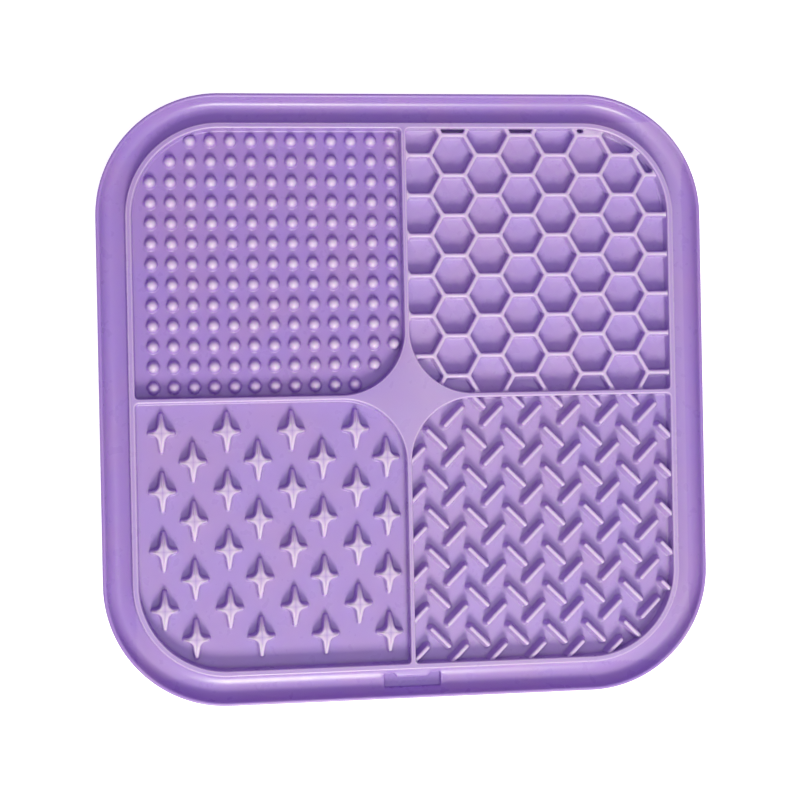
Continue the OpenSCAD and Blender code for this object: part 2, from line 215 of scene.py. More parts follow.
def rounded(points, radii):
    """Outline of a polygon, given anticlockwise, with each corner rounded by its own radius."""
    outline = []
    count = len(points)
    for k, radius in enumerate(radii):
        here = Vector(points[k])
        before = (here - Vector(points[k - 1])).normalized()
        after = (Vector(points[(k + 1) % count]) - here).normalized()
        normal_a = Vector((before.y, -before.x))
        normal_b = Vector((after.y, -after.x))
        turn = 1 if before.cross(after) > 0 else -1
        centre = here - turn * radius * (normal_a + normal_b) / (1 + normal_a.dot(normal_b))
        start = math.atan2(normal_a.y, normal_a.x)
        swing = turn * normal_a.angle(normal_b)
        steps = max(FEWEST_STEPS, math.ceil(abs(swing) * radius / FINE))
        for i in range(steps + 1):
            angle = start + swing * i / steps + (0 if turn > 0 else math.pi)
            outline.append((centre.x, centre.y, radius, turn, angle))
    return outline


def drawn(outline, out):
    """The outline's points when it is drawn a distance further out."""
    return [(x + (radius + turn * out) * math.cos(angle), y + (radius + turn * out) * math.sin(angle))
            for x, y, radius, turn, angle in outline]


def rectangle(low, high, radii):
    """Outline of a rectangle. The radii run anticlockwise from the lowest corner."""
    return rounded([(low[0], low[1]), (high[0], low[1]), (high[0], high[1]), (low[0], high[1])], radii)


def cut_by_line(polygon, point, normal):
    """The part of a convex polygon that lies on the inner side of a line."""
    kept = []
    for a, b in zip(polygon, polygon[1:] + polygon[:1]):
        side_a = (a - point).dot(normal)
        side_b = (b - point).dot(normal)
        if side_a <= 0:
            kept.append(a)
        if side_a * side_b < 0:
            kept.append(a.lerp(b, side_a / (side_a - side_b)))
    return kept


def lines_of(polygon, inwards=0.0):
    """A point and the outer normal of each side of an anticlockwise polygon, moved inwards."""
    lines = []
    for a, b in zip(polygon, polygon[1:] + polygon[:1]):
        if (b - a).length > SHORTEST_SIDE:
            way = (b - a).normalized()
            normal = Vector((way.y, -way.x))
            lines.append((a - normal * inwards, normal))
    return lines


def shared_area(polygon, other):
    """The part of a convex polygon that lies in another one."""
    for point, normal in lines_of(other):
        if len(polygon) > 2:
            polygon = cut_by_line(polygon, point, normal)
    return polygon


def softened(polygon, radius):
    """Outline of a convex polygon with all its corners rounded, or nothing where it is too narrow."""
    widest_step = math.radians(14)
    inner = list(polygon)
    for point, normal in lines_of(polygon, radius):
        if len(inner) > 2:
            inner = cut_by_line(inner, point, normal)
    centres = [p for p, before in zip(inner, inner[-1:] + inner[:-1])
               if (p - before).length > SHORTEST_STEP]
    if len(centres) < 3:
        return []
    outline = []
    for k, centre in enumerate(centres):
        before = centre - centres[k - 1]
        after = centres[(k + 1) % len(centres)] - centre
        start = math.atan2(-before.x, before.y)
        swing = before.angle(after)
        steps = max(1, math.ceil(swing / widest_step))
        outline += [(centre.x, centre.y, radius, 1, start + swing * i / steps) for i in range(steps + 1)]
    return outline


def edge_profile(height, edge, foot, draft=0.0, crest=0.7, top=1.0):
    """
    Steps from a raised piece's foot up to its top: distance out, height above the floor and painted
    highlight.

    edge and foot are the radii above and below. draft is how far the side leans out for each unit
    that it goes down. crest is the painted highlight where the round edge ends, which makes the crest
    paler as light would, and top the part of it that the flat top keeps.
    """
    quarter = [math.pi / 2 * k / ARC_STEPS for k in range(ARC_STEPS + 1)]
    steps = [(foot + SKIRT, -SINK, 0), (foot + SKIRT, LIFT, 0)]
    steps += [(foot * (1 - math.sin(a)), foot * (1 - math.cos(a)) + LIFT, 0) for a in quarter]
    steps += [(edge * (math.cos(a) - 1), height - edge + edge * math.sin(a), crest * math.sin(a))
              for a in quarter]
    steps.append((-edge - LAST_LOOP, height, crest * top))
    return [(out + draft * (height - z), z, pale) for out, z, pale in steps]


class Skin:
    """Gathers the points and faces of one closed piece, with heights above the pockets' floor."""

    def __init__(self):
        self.points = []
        self.pale = []
        self.faces = []

    def point(self, x, y, z, pale=0):
        """One point. Gives its number."""
        self.points.append((x, y, z + FLOOR_Z))
        # Painted highlight on crests, with the painted sheen of lit flats added
        self.pale.append(pale + (1 - pale) * painted_ground_sheen(x, y))
        return len(self.points) - 1

    def ring(self, outline, out, z, pale=0):
        """One loop of points. z is a number, or a function of a point's place."""
        return [self.point(x, y, z(x, y) if callable(z) else z, pale) for x, y in drawn(outline, out)]

    def band(self, low, high, inward=False):
        """Four-sided faces between two loops with the same number of points."""
        count = len(low)
        for k in range(count):
            face = (low[k], low[(k + 1) % count], high[(k + 1) % count], high[k])
            self.faces.append(face[::-1] if inward else face)

    def bands(self, rings, inward=False):
        """Faces between each loop and the next one."""
        for low, high in zip(rings, rings[1:]):
            self.band(low, high, inward)

    def stack(self, outline, steps, inward=False):
        """Loops one above another, joined by bands. Gives the lowest and the highest loop."""
        way = -1 if inward else 1
        rings = [self.ring(outline, way * out, z, *pale) for out, z, *pale in steps]
        self.bands(rings, inward)
        return rings[0], rings[-1]

    def lid(self, ring, up=True):
        """One flat face that closes a loop."""
        self.faces.append(tuple(ring) if up else tuple(reversed(ring)))

    def plate(self, outer, holes, up=True):
        """Flat triangles between an outer loop and the loops of convex holes in it."""
        loops = [outer] + list(holes)
        order = [index for loop in loops for index in loop]
        hole_of = {index: number for number, hole in enumerate(holes) for index in hole}
        edges = []
        start = 0
        for loop in loops:
            edges += [(start + k, start + (k + 1) % len(loop)) for k in range(len(loop))]
            start += len(loop)
        flat = [Vector(self.points[index][:2]) for index in order]
        _, _, triangles, sources, _, _ = delaunay_2d_cdt(flat, edges, [], 1, NEARLY_ZERO)
        for triangle in triangles:
            corners = [order[sources[k][0]] for k in triangle]
            groups = {hole_of.get(index, -1 - k) for k, index in enumerate(corners)}
            if len(groups) > 1:
                self.faces.append(tuple(corners) if up else tuple(reversed(corners)))

    def raised(self, outline, steps):
        """One raised shape with a flat lid above and below."""
        low, high = self.stack(outline, steps)
        self.lid(low, up=False)
        self.lid(high)

    def piece(self, name, material):
        """The finished Blender object, smooth but for its sharp folds."""
        mesh = bpy.data.meshes.new(name)
        mesh.from_pydata(self.points, [], self.faces)
        # Painted sheen and highlights, kept as a point value for the material
        mesh.attributes.new(SHEEN_ATTRIBUTE, "FLOAT", "POINT").data.foreach_set("value", self.pale)
        weld(mesh)
        mesh.validate()
        mesh.shade_smooth()
        mesh.set_sharp_from_angle(angle=SHARP_FOLD)
        mesh.materials.append(material)
        made = bpy.data.objects.new(name, mesh)
        bpy.context.scene.collection.objects.link(made)
        return made


def weld(mesh):
    """Joins points that coincide, and drops the faces that this leaves without area."""
    work = bmesh.new()
    work.from_mesh(mesh)
    bmesh.ops.remove_doubles(work, verts=work.verts, dist=SAME_PLACE)
    work.to_mesh(mesh)
    work.free()


# Layout of the pockets

def mat_outline(sizes, extra=()):
    """The mat's outer outline. The extra places lie along its straight front edge."""
    radius = sizes.corner
    outline = rectangle((-HALF_W, -HALF_D), (HALF_W, HALF_D), [radius] * 4)
    second_corner = next(k for k, entry in enumerate(outline) if entry[0] > 0)
    front = [(x, radius - HALF_D, radius, 1, -math.pi / 2) for x in extra]
    return outline[:second_corner] + front + outline[second_corner:]


def pocket_outline(rim, walls, sx, sy):
    """Outline of the pocket in the quarter with signs sx and sy."""
    start = walls.divider / 2
    far_x = WALL_HIGH.x - walls.wall
    far_y = WALL_HIGH.y - walls.wall
    far_radius = rim.corner - WALL_INSET - walls.wall
    small = walls.inner_corner
    outline = rectangle((start, start), (far_x, far_y), [walls.plaque, small, far_radius, small])
    if sx * sy < 0:
        outline.reverse()
    return [(sx * x, sy * y, radius, turn, math.atan2(sy * math.sin(angle), sx * math.cos(angle)))
            for x, y, radius, turn, angle in outline]


def pocket_polygon(scene, sx, sy, out=0.0):
    """The same outline as corners of a polygon, drawn a distance further out."""
    outline = pocket_outline(scene.lick_mat_rim, scene.lick_mat_walls, sx, sy)
    return [Vector(point) for point in drawn(outline, out)]


def lattice(reach):
    """Numbers of the columns and rows of a pattern, with as many on each side of its middle."""
    numbers = range(-reach, reach + 1)
    return [(column, row) for column in numbers for row in numbers]


def pocket_middle(walls):
    """Distances of a pocket's middle from the middle of the mat, across and along."""
    start = walls.divider / 2
    return (WALL_HIGH.x - walls.wall + start) / 2, (WALL_HIGH.y - walls.wall + start) / 2


def depth_inside(polygon, place):
    """How deep a place lies inside a convex anticlockwise polygon, negative outside."""
    return min(-(place - point).dot(normal) for point, normal in lines_of(polygon))


def span_inside(polygon, place, way):
    """Where a straight line enters and leaves a convex polygon, as distances from a place on it."""
    first, last = -1.0, 1.0
    for point, normal in lines_of(polygon):
        slope = way.dot(normal)
        gap = (point - place).dot(normal)
        if slope > NEARLY_ZERO:
            last = min(last, gap / slope)
        elif slope < -NEARLY_ZERO:
            first = max(first, gap / slope)
        elif gap < 0:
            return 0.0, 0.0
    return first, last


# Materials

# Numbers of Blender's Principled BSDF that are the same all over the silicone
SILICONE = {
    "IOR": 1.42,
    "Specular IOR Level": 0.5,
    "Sheen Weight": 0.06,
    "Sheen Roughness": 0.5,
    "Subsurface Weight": 0.6,
    "Subsurface Radius": (1.0, 0.5, 1.3),
    "Subsurface Scale": 0.6 * MM,
}
WARM_FROM, WARM_FULL = 0.38, 0.66  # values of the patches' noise between which they turn warm
GLOSSIER, DULLER = 0.05, 0.07  # how far the roughness strays from its mean
GRAIN_DEPTH = 0.02 * MM


def link(tree, source, output, target, socket):
    """Leads one node's output to another node's socket."""
    tree.links.new(source.outputs[output], target.inputs[socket])


def noise(tree, place, scale, detail):
    """A noise that is fixed to the piece. scale is how many of its waves go into a metre."""
    made = tree.nodes.new("ShaderNodeTexNoise")
    made.inputs["Scale"].default_value = scale
    made.inputs["Detail"].default_value = detail
    link(tree, place, "Object", made, "Vector")
    return made


def silicone(name, colour, warm, pale, finish):
    """Satin silicone: faint warm patches, painted sheen and highlights that make it paler where light falls,
    uneven gloss and a fine matt grain.
    """
    material = bpy.data.materials.new(name)
    material.use_nodes = True
    tree = material.node_tree
    shader = tree.nodes["Principled BSDF"]
    for socket, value in SILICONE.items():
        shader.inputs[socket].default_value = value

    place = tree.nodes.new("ShaderNodeTexCoord")
    patches = noise(tree, place, scale=60, detail=3)
    ramp = tree.nodes.new("ShaderNodeValToRGB")
    ramp.color_ramp.elements[0].position = WARM_FROM
    ramp.color_ramp.elements[0].color = (*colour, 1)
    ramp.color_ramp.elements[1].position = WARM_FULL
    ramp.color_ramp.elements[1].color = (*warm, 1)
    link(tree, patches, "Fac", ramp, "Fac")
    # Painted sheen and highlights: the point value mixes the colour towards the pale one
    crest = tree.nodes.new("ShaderNodeAttribute")
    crest.attribute_name = SHEEN_ATTRIBUTE
    painted_sheen = tree.nodes.new("ShaderNodeMixRGB")
    painted_sheen.inputs["Color2"].default_value = (*pale, 1)
    link(tree, crest, "Fac", painted_sheen, "Fac")
    link(tree, ramp, "Color", painted_sheen, "Color1")
    link(tree, painted_sheen, "Color", shader, "Base Color")

    handled = noise(tree, place, scale=240, detail=2)
    gloss = tree.nodes.new("ShaderNodeMapRange")
    gloss.inputs["To Min"].default_value = finish.roughness - GLOSSIER
    gloss.inputs["To Max"].default_value = finish.roughness + DULLER
    link(tree, handled, "Fac", gloss, "Value")
    link(tree, gloss, "Result", shader, "Roughness")

    grain = noise(tree, place, scale=3500, detail=2)
    bump = tree.nodes.new("ShaderNodeBump")
    bump.inputs["Strength"].default_value = finish.grain
    bump.inputs["Distance"].default_value = GRAIN_DEPTH
    link(tree, grain, "Fac", bump, "Height")
    link(tree, bump, "Normal", shader, "Normal")
    return material


def body_material(scene):
    """The mat's own silicone, made once and shared by its pieces."""
    finish = scene.lick_mat_finish
    found = bpy.data.materials.get("Mat silicone")
    return found or silicone("Mat silicone", finish.body, finish.body_warm, finish.painted_sheen_colour, finish)


def settle(piece, slot, *nodes):
    """Fixes a finished piece to the frame in place of its nodes."""
    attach(piece, "root")
    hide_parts(*nodes)


# Pieces

class LICKMAT_OT_sheet(bpy.types.Operator):
    """Makes the thin sheet under everything, with its rounded lower edge"""
    bl_idname = "lickmat.sheet"
    bl_label = "Sheet"

    underside = 0.2 * MM  # how far in from the round edge the underside's loop lies
    under_wall = 0.3 * MM  # how far each pocket's floor reaches under the walls

    def execute(self, context):
        rim = context.scene.lick_mat_rim
        walls = context.scene.lick_mat_walls
        radius = rim.sheet_edge
        low = SHEET_LOW.z - FLOOR_Z
        outline = mat_outline(rim)
        steps = [(-radius - self.underside, low)]
        for k in range(ARC_STEPS + 1):
            angle = math.pi / 2 * k / ARC_STEPS
            steps.append((radius * (math.sin(angle) - 1), low + radius * (1 - math.cos(angle))))
        steps.append((0, 0))
        skin = Skin()
        low_ring, high_ring = skin.stack(outline, steps)
        pockets = [skin.ring(pocket_outline(rim, walls, sx, sy), self.under_wall, 0) for sx, sy in QUARTERS]
        skin.lid(low_ring, up=False)
        skin.plate(high_ring, pockets)
        for ring in pockets:
            skin.lid(ring)
        settle(skin.piece("mat_sheet", body_material(context.scene)), BODY_SLOT, "base_sheet")
        return {"FINISHED"}


FACE_LOOPS = (1 * MM, 2 * MM)  # heights of the loops that the rim's outer face has between its ends
LIP_STEPS, STEEP_STEPS, CLIMB_STEPS, FILLET_STEPS = 8, 14, 8, 6  # steps in each arc of the rim's section
BELOW_LIP = 0.15 * MM  # how far below the lip's round the gutter's steep side starts


def gutter_section(rim):
    """The rim's section from the foot of the outer face over the lip, down and up to the wall."""
    lip_height = height_above_floor("gutter_rim")
    half_lip = rim.lip / 2
    lowest = rim.lip + rim.deep  # distance of the gutter's lowest line from the outer face
    bottom = lip_height - rim.deep
    section = [(0, z) for z in (0, *FACE_LOOPS, lip_height - half_lip)]
    for k in range(1, LIP_STEPS + 1):
        angle = math.pi * k / LIP_STEPS
        section.append((half_lip * (math.cos(angle) - 1), lip_height - half_lip + half_lip * math.sin(angle)))
    steep_start = math.asin((half_lip + BELOW_LIP) / rim.deep)
    for k in range(STEEP_STEPS + 1):
        angle = steep_start + (math.pi / 2 - steep_start) * k / STEEP_STEPS
        section.append((-lowest + rim.deep * math.cos(angle), lip_height - rim.deep * math.sin(angle)))
    reach = WALL_INSET - rim.fillet - lowest
    span = rim.climb - rim.fillet
    turn = math.asin(reach / span)
    for k in range(1, CLIMB_STEPS + 1):
        angle = turn * k / CLIMB_STEPS
        section.append((-lowest - rim.climb * math.sin(angle), bottom + rim.climb * (1 - math.cos(angle))))
    middle_z = bottom + rim.climb - span * math.cos(turn)
    for k in range(1, FILLET_STEPS + 1):
        angle = turn + (math.pi / 2 - turn) * k / FILLET_STEPS
        section.append((-WALL_INSET + rim.fillet * (1 - math.sin(angle)),
                        middle_z - rim.fillet * math.cos(angle)))
    return section


def height_on(section, out):
    """Height of the gutter at a distance from the mat's edge, between its steep side and the wall."""
    for (out_a, z_a), (out_b, z_b) in zip(section, section[1:]):
        if out_b <= out <= out_a and out_a - out_b > NEARLY_ZERO:
            return z_a + (z_b - z_a) * (out_a - out) / (out_a - out_b)
    return section[-1][1]


class LICKMAT_OT_rim(bpy.types.Operator):
    """Makes the lip and the gutter as one swept skin, with the hook recess let into its front run"""
    bl_idname = "lickmat.rim"
    bl_label = "Lip and gutter"

    patch_half = 14 * MM  # half the length of the patch that holds the recess
    patch_from = 0.6 * MM  # how far in from the lip that patch starts
    patch_columns = 28
    under_wall = 0.5 * MM  # how far the hidden underside reaches under the wall
    under_edge = ((-1 * MM, -DEEP_SINK), (-0.3 * MM, -0.01 * MM))  # its last loops, near the outer face
    recess_corner = 0.7 * MM
    tab_corner = 0.5 * MM
    recess_edge = 0.35 * MM  # radius along the recess's upper edge
    recess_foot = 0.4 * MM  # radius round its floor
    recess_floor = 0.02 * MM  # height of its floor above the pockets' floor
    recess_steps = 4  # steps in each of these two radii
    clear = 0.3 * MM  # strip round the recess without points of the patch

    def execute(self, context):
        rim = context.scene.lick_mat_rim
        section = gutter_section(rim)
        outline = mat_outline(rim, extra=(-self.patch_half, self.patch_half))
        left = next(k for k, entry in enumerate(outline) if entry[0] == -self.patch_half)
        skin = Skin()
        inmost = -WALL_INSET - self.under_wall
        hidden = [(inmost, section[-1][1]), (inmost, -DEEP_SINK), *self.under_edge]
        rings = [skin.ring(outline, out, z) for out, z in section + hidden]
        start = next(k for k, (out, _) in enumerate(section) if out < -rim.lip - self.patch_from)
        end = len(section) - 1
        for k in range(len(rings)):
            low, high = rings[k], rings[(k + 1) % len(rings)]
            count = len(low)
            for i in range(count):
                if not (start <= k < end and i == left):
                    skin.faces.append((low[i], low[(i + 1) % count], high[(i + 1) % count], high[i]))
        self.front_run(skin, rim, section[start:end + 1], rings[start:end + 1], left)
        settle(skin.piece("mat_rim", body_material(context.scene)), BODY_SLOT, "gutter_rim")
        return {"FINISHED"}

    def front_run(self, skin, rim, section, rings, left):
        """The part of the gutter's front run that holds the recess."""
        back = WALL_INSET - rim.recess_gap - HALF_D
        front = back - rim.recess_width
        half = rim.recess_length / 2
        root = rim.tab_length / 2
        tip = root - rim.tab_width
        tab = back - rim.tab_width
        points = [(-half, front), (half, front), (half, back), (root, back),
                  (tip, tab), (-tip, tab), (-root, back), (-half, back)]
        outline = rounded(points, [self.recess_corner] * 3 + [self.tab_corner] * 4 + [self.recess_corner])
        edge, foot = self.recess_edge, self.recess_foot

        def on_gutter(drop):
            """Heights that follow the gutter, a little below it."""
            return lambda x, y: height_on(section, -(y + HALF_D)) - drop

        arc = [math.pi / 2 * k / self.recess_steps for k in range(self.recess_steps + 1)]
        loops = [skin.ring(outline, edge * (1 - math.sin(a)), on_gutter(edge * (1 - math.cos(a))))
                 for a in arc]
        loops += [skin.ring(outline, -foot * (1 - math.cos(a)), foot * (1 - math.sin(a)) + self.recess_floor)
                  for a in arc]
        skin.bands(loops)
        skin.plate(loops[-1], [])

        border = [ring[left] for ring in rings] + [ring[left + 1] for ring in reversed(rings)]
        spare = []
        wide = [Vector(p) for p in drawn(outline, edge + self.clear)]
        low_x, high_x = min(p.x for p in wide), max(p.x for p in wide)
        low_y, high_y = min(p.y for p in wide), max(p.y for p in wide)
        for out, z in section[1:-1]:
            y = -HALF_D - out
            for k in range(1, self.patch_columns):
                x = -self.patch_half + self.patch_half * 2 * k / self.patch_columns
                if not (low_x < x < high_x and low_y < y < high_y):
                    spare.append(skin.point(x, y, z))
        self.fill_round(skin, border, loops[0], spare)

    def fill_round(self, skin, border, hole, spare):
        """Triangles between the border and the recess, which isn't convex."""
        order = border + hole + spare
        flat = [Vector(skin.points[index][:2]) for index in order]
        edges = [(k, (k + 1) % len(border)) for k in range(len(border))]
        edges += [(len(border) + k, len(border) + (k + 1) % len(hole)) for k in range(len(hole))]
        _, _, triangles, sources, _, _ = delaunay_2d_cdt(flat, edges, [], 1, NEARLY_ZERO)
        rim_of_hole = [flat[len(border) + k] for k in range(len(hole))]
        for triangle in triangles:
            corners = [order[sources[k][0]] for k in triangle]
            middle = sum((flat[sources[k][0]] for k in triangle), Vector((0, 0))) / 3
            if not is_within(rim_of_hole, middle):
                skin.faces.append(tuple(corners))


def is_within(loop, place):
    """Whether a place lies inside a closed loop of any shape."""
    within = False
    for a, b in zip(loop, loop[1:] + loop[:1]):
        if (a.y > place.y) != (b.y > place.y):
            if place.x < a.x + (place.y - a.y) * (b.x - a.x) / (b.y - a.y):
                within = not within
    return within


class LICKMAT_OT_walls(bpy.types.Operator):
    """Makes the wall, the dividers and the flat star as one skin with rounded tops and feet"""
    bl_idname = "lickmat.walls"
    bl_label = "Walls and dividers"

    def execute(self, context):
        rim = context.scene.lick_mat_rim
        walls = context.scene.lick_mat_walls
        height = height_above_floor("pocket_wall")
        # crest and top set the painted highlight on the round top edges and on the flat top
        steps = edge_profile(height, walls.edge, walls.foot, crest=0.5, top=0.3)
        # The outer side has no foot of its own, because the gutter's fillet runs up to it.
        outer_steps = [(0, -SINK, 0)] + [step for step in steps if step[1] > walls.foot + LIFT * 2]
        skin = Skin()
        outer_low, outer_high = skin.stack(shifted(mat_outline(rim), -WALL_INSET), outer_steps)
        lows, highs = [], []
        for sx, sy in QUARTERS:
            low, high = skin.stack(pocket_outline(rim, walls, sx, sy), steps, inward=True)
            lows.append(low)
            highs.append(high)
        skin.plate(outer_high, highs)
        skin.plate(outer_low, lows, up=False)
        piece = skin.piece("pocket_walls", body_material(context.scene))
        settle(piece, BODY_SLOT, "pocket_wall", "cross_divider")
        return {"FINISHED"}


def shifted(outline, out):
    """The outline drawn further out for good."""
    return [(x, y, radius + turn * out, turn, angle) for x, y, radius, turn, angle in outline]


class LICKMAT_OT_dots(bpy.types.Operator):
    """Makes the round-topped dots of the left back pocket"""
    bl_idname = "lickmat.dots"
    bl_label = "Dots"

    reach = 6  # rows and columns that are tried on each side of the pocket's middle
    crown = 0.1 * MM  # radius of the flat crown that a dot keeps
    clear = 0.2 * MM  # least gap between a dot and the pocket's side
    turns = 28  # points round a dot

    def execute(self, context):
        sizes = context.scene.lick_mat_textures
        pocket = pocket_polygon(context.scene, -1, 1)
        middle_x, middle_y = pocket_middle(context.scene.lick_mat_walls)
        radius = sizes.dot / 2
        height = height_above_floor("dot_field")
        # crest sets the painted highlight on each dot's dome
        steps = edge_profile(height, radius - self.crown, sizes.foot, draft=0.2, crest=0.85)[:-1]
        angles = [math.tau * k / self.turns for k in range(self.turns)]
        skin = Skin()
        for i, j in lattice(self.reach):
            place = Vector((-middle_x + sizes.dot_shift_x - i * sizes.dot_pitch_x,
                            middle_y - sizes.dot_shift_y + j * sizes.dot_pitch_y))
            if depth_inside(pocket, place) > radius + self.clear:
                skin.raised([(place.x, place.y, radius, 1, angle) for angle in angles], steps)
        settle(skin.piece("dots", body_material(context.scene)), BODY_SLOT, "dot_field")
        return {"FINISHED"}


class LICKMAT_OT_honeycomb(bpy.types.Operator):
    """Makes the honeycomb of the right back pocket as one net with soft edges"""
    bl_idname = "lickmat.honeycomb"
    bl_label = "Honeycomb"

    reach = 5  # rows and columns that are tried on each side of the pocket's middle
    cells_under_wall = 0.2 * MM  # how far the cells at the border reach under the walls
    net_under_wall = 1.2 * MM  # how far the net itself does
    smaller_corners = (0.7 * MM, 0.4 * MM)  # for cells that are too narrow for the usual corner
    least_floor = 0.05 * MM  # what the foot leaves of the floor in a rounded corner
    steepest = 0.08  # greatest draft of a cell's side
    loops = (0.2, 0.4, 0.6, 0.75, 0.88)  # loops of the dished floor, from its middle to its foot
    dish_power = 2.5  # how late the dish rises on its way out

    def execute(self, context):
        sizes = context.scene.lick_mat_textures
        walls = context.scene.lick_mat_walls
        outline = pocket_outline(context.scene.lick_mat_rim, walls, 1, 1)
        room = pocket_polygon(context.scene, 1, 1, self.cells_under_wall)
        middle_x, middle_y = pocket_middle(walls)
        height = height_above_floor("honeycomb_net")
        column = sizes.cell_pitch * math.sqrt(3) / 2
        opening = (sizes.cell_pitch - sizes.cell_wall) / math.sqrt(3)
        edge = sizes.cell_wall / 2 - RIB_CREST
        skin = Skin()
        highs = []
        for i, j in lattice(self.reach):
            x = middle_x + sizes.cell_shift_x + (i + 0.5) * column
            y = middle_y + sizes.cell_shift_y + (j + (0 if i % 2 == 0 else 0.5)) * sizes.cell_pitch
            hexagon = [Vector((x + opening * math.cos(a), y + opening * math.sin(a)))
                       for a in (math.tau * k / 6 for k in range(6))]
            cell = shared_area(hexagon, room)
            if len(cell) > 2:
                self.cell(skin, cell, sizes, height, edge, highs)
        skin_low = skin.ring(outline, self.net_under_wall, -DEEP_SINK)
        skin_high = skin.ring(outline, self.net_under_wall, height)
        skin.band(skin_low, skin_high)
        skin.plate(skin_high, highs)
        skin.plate(skin_low, [], up=False)
        settle(skin.piece("honeycomb", body_material(context.scene)), BODY_SLOT, "honeycomb_net")
        return {"FINISHED"}

    def cell(self, skin, cell, sizes, height, edge, highs):
        """One cell's inner side and dished floor, with smaller corners where the cell is narrow."""
        for radius in (sizes.cell_corner, *self.smaller_corners):
            outline = softened(cell, radius)
            if outline:
                break
        else:
            return
        spare = radius - SKIRT - self.least_floor
        lean = min(self.steepest, spare / height / 2)
        foot = min(sizes.foot, spare - lean * (height + SINK))
        # the default crest paints a highlight on the cell walls' round tops
        steps = edge_profile(height, edge, foot, draft=lean)
        foot_end = 3 + ARC_STEPS  # two steps of the skirt, which is left out here, and the foot's arc
        foot_steps = [(out, z + sizes.cell_dish, pale) for out, z, pale in steps[2:foot_end]]
        low, high = skin.stack(outline, foot_steps + steps[foot_end:], inward=True)
        middle = sum(cell, Vector((0, 0))) / len(cell)
        inner = None
        for part in self.loops:
            ring = []
            for index in low:
                place = middle.lerp(Vector(skin.points[index][:2]), part)
                ring.append(skin.point(place.x, place.y, LIFT + sizes.cell_dish * part ** self.dish_power))
            if inner:
                skin.band(inner, ring, inward=True)
            else:
                skin.lid(ring)
            inner = ring
        skin.band(inner, low, inward=True)
        highs.append(high)


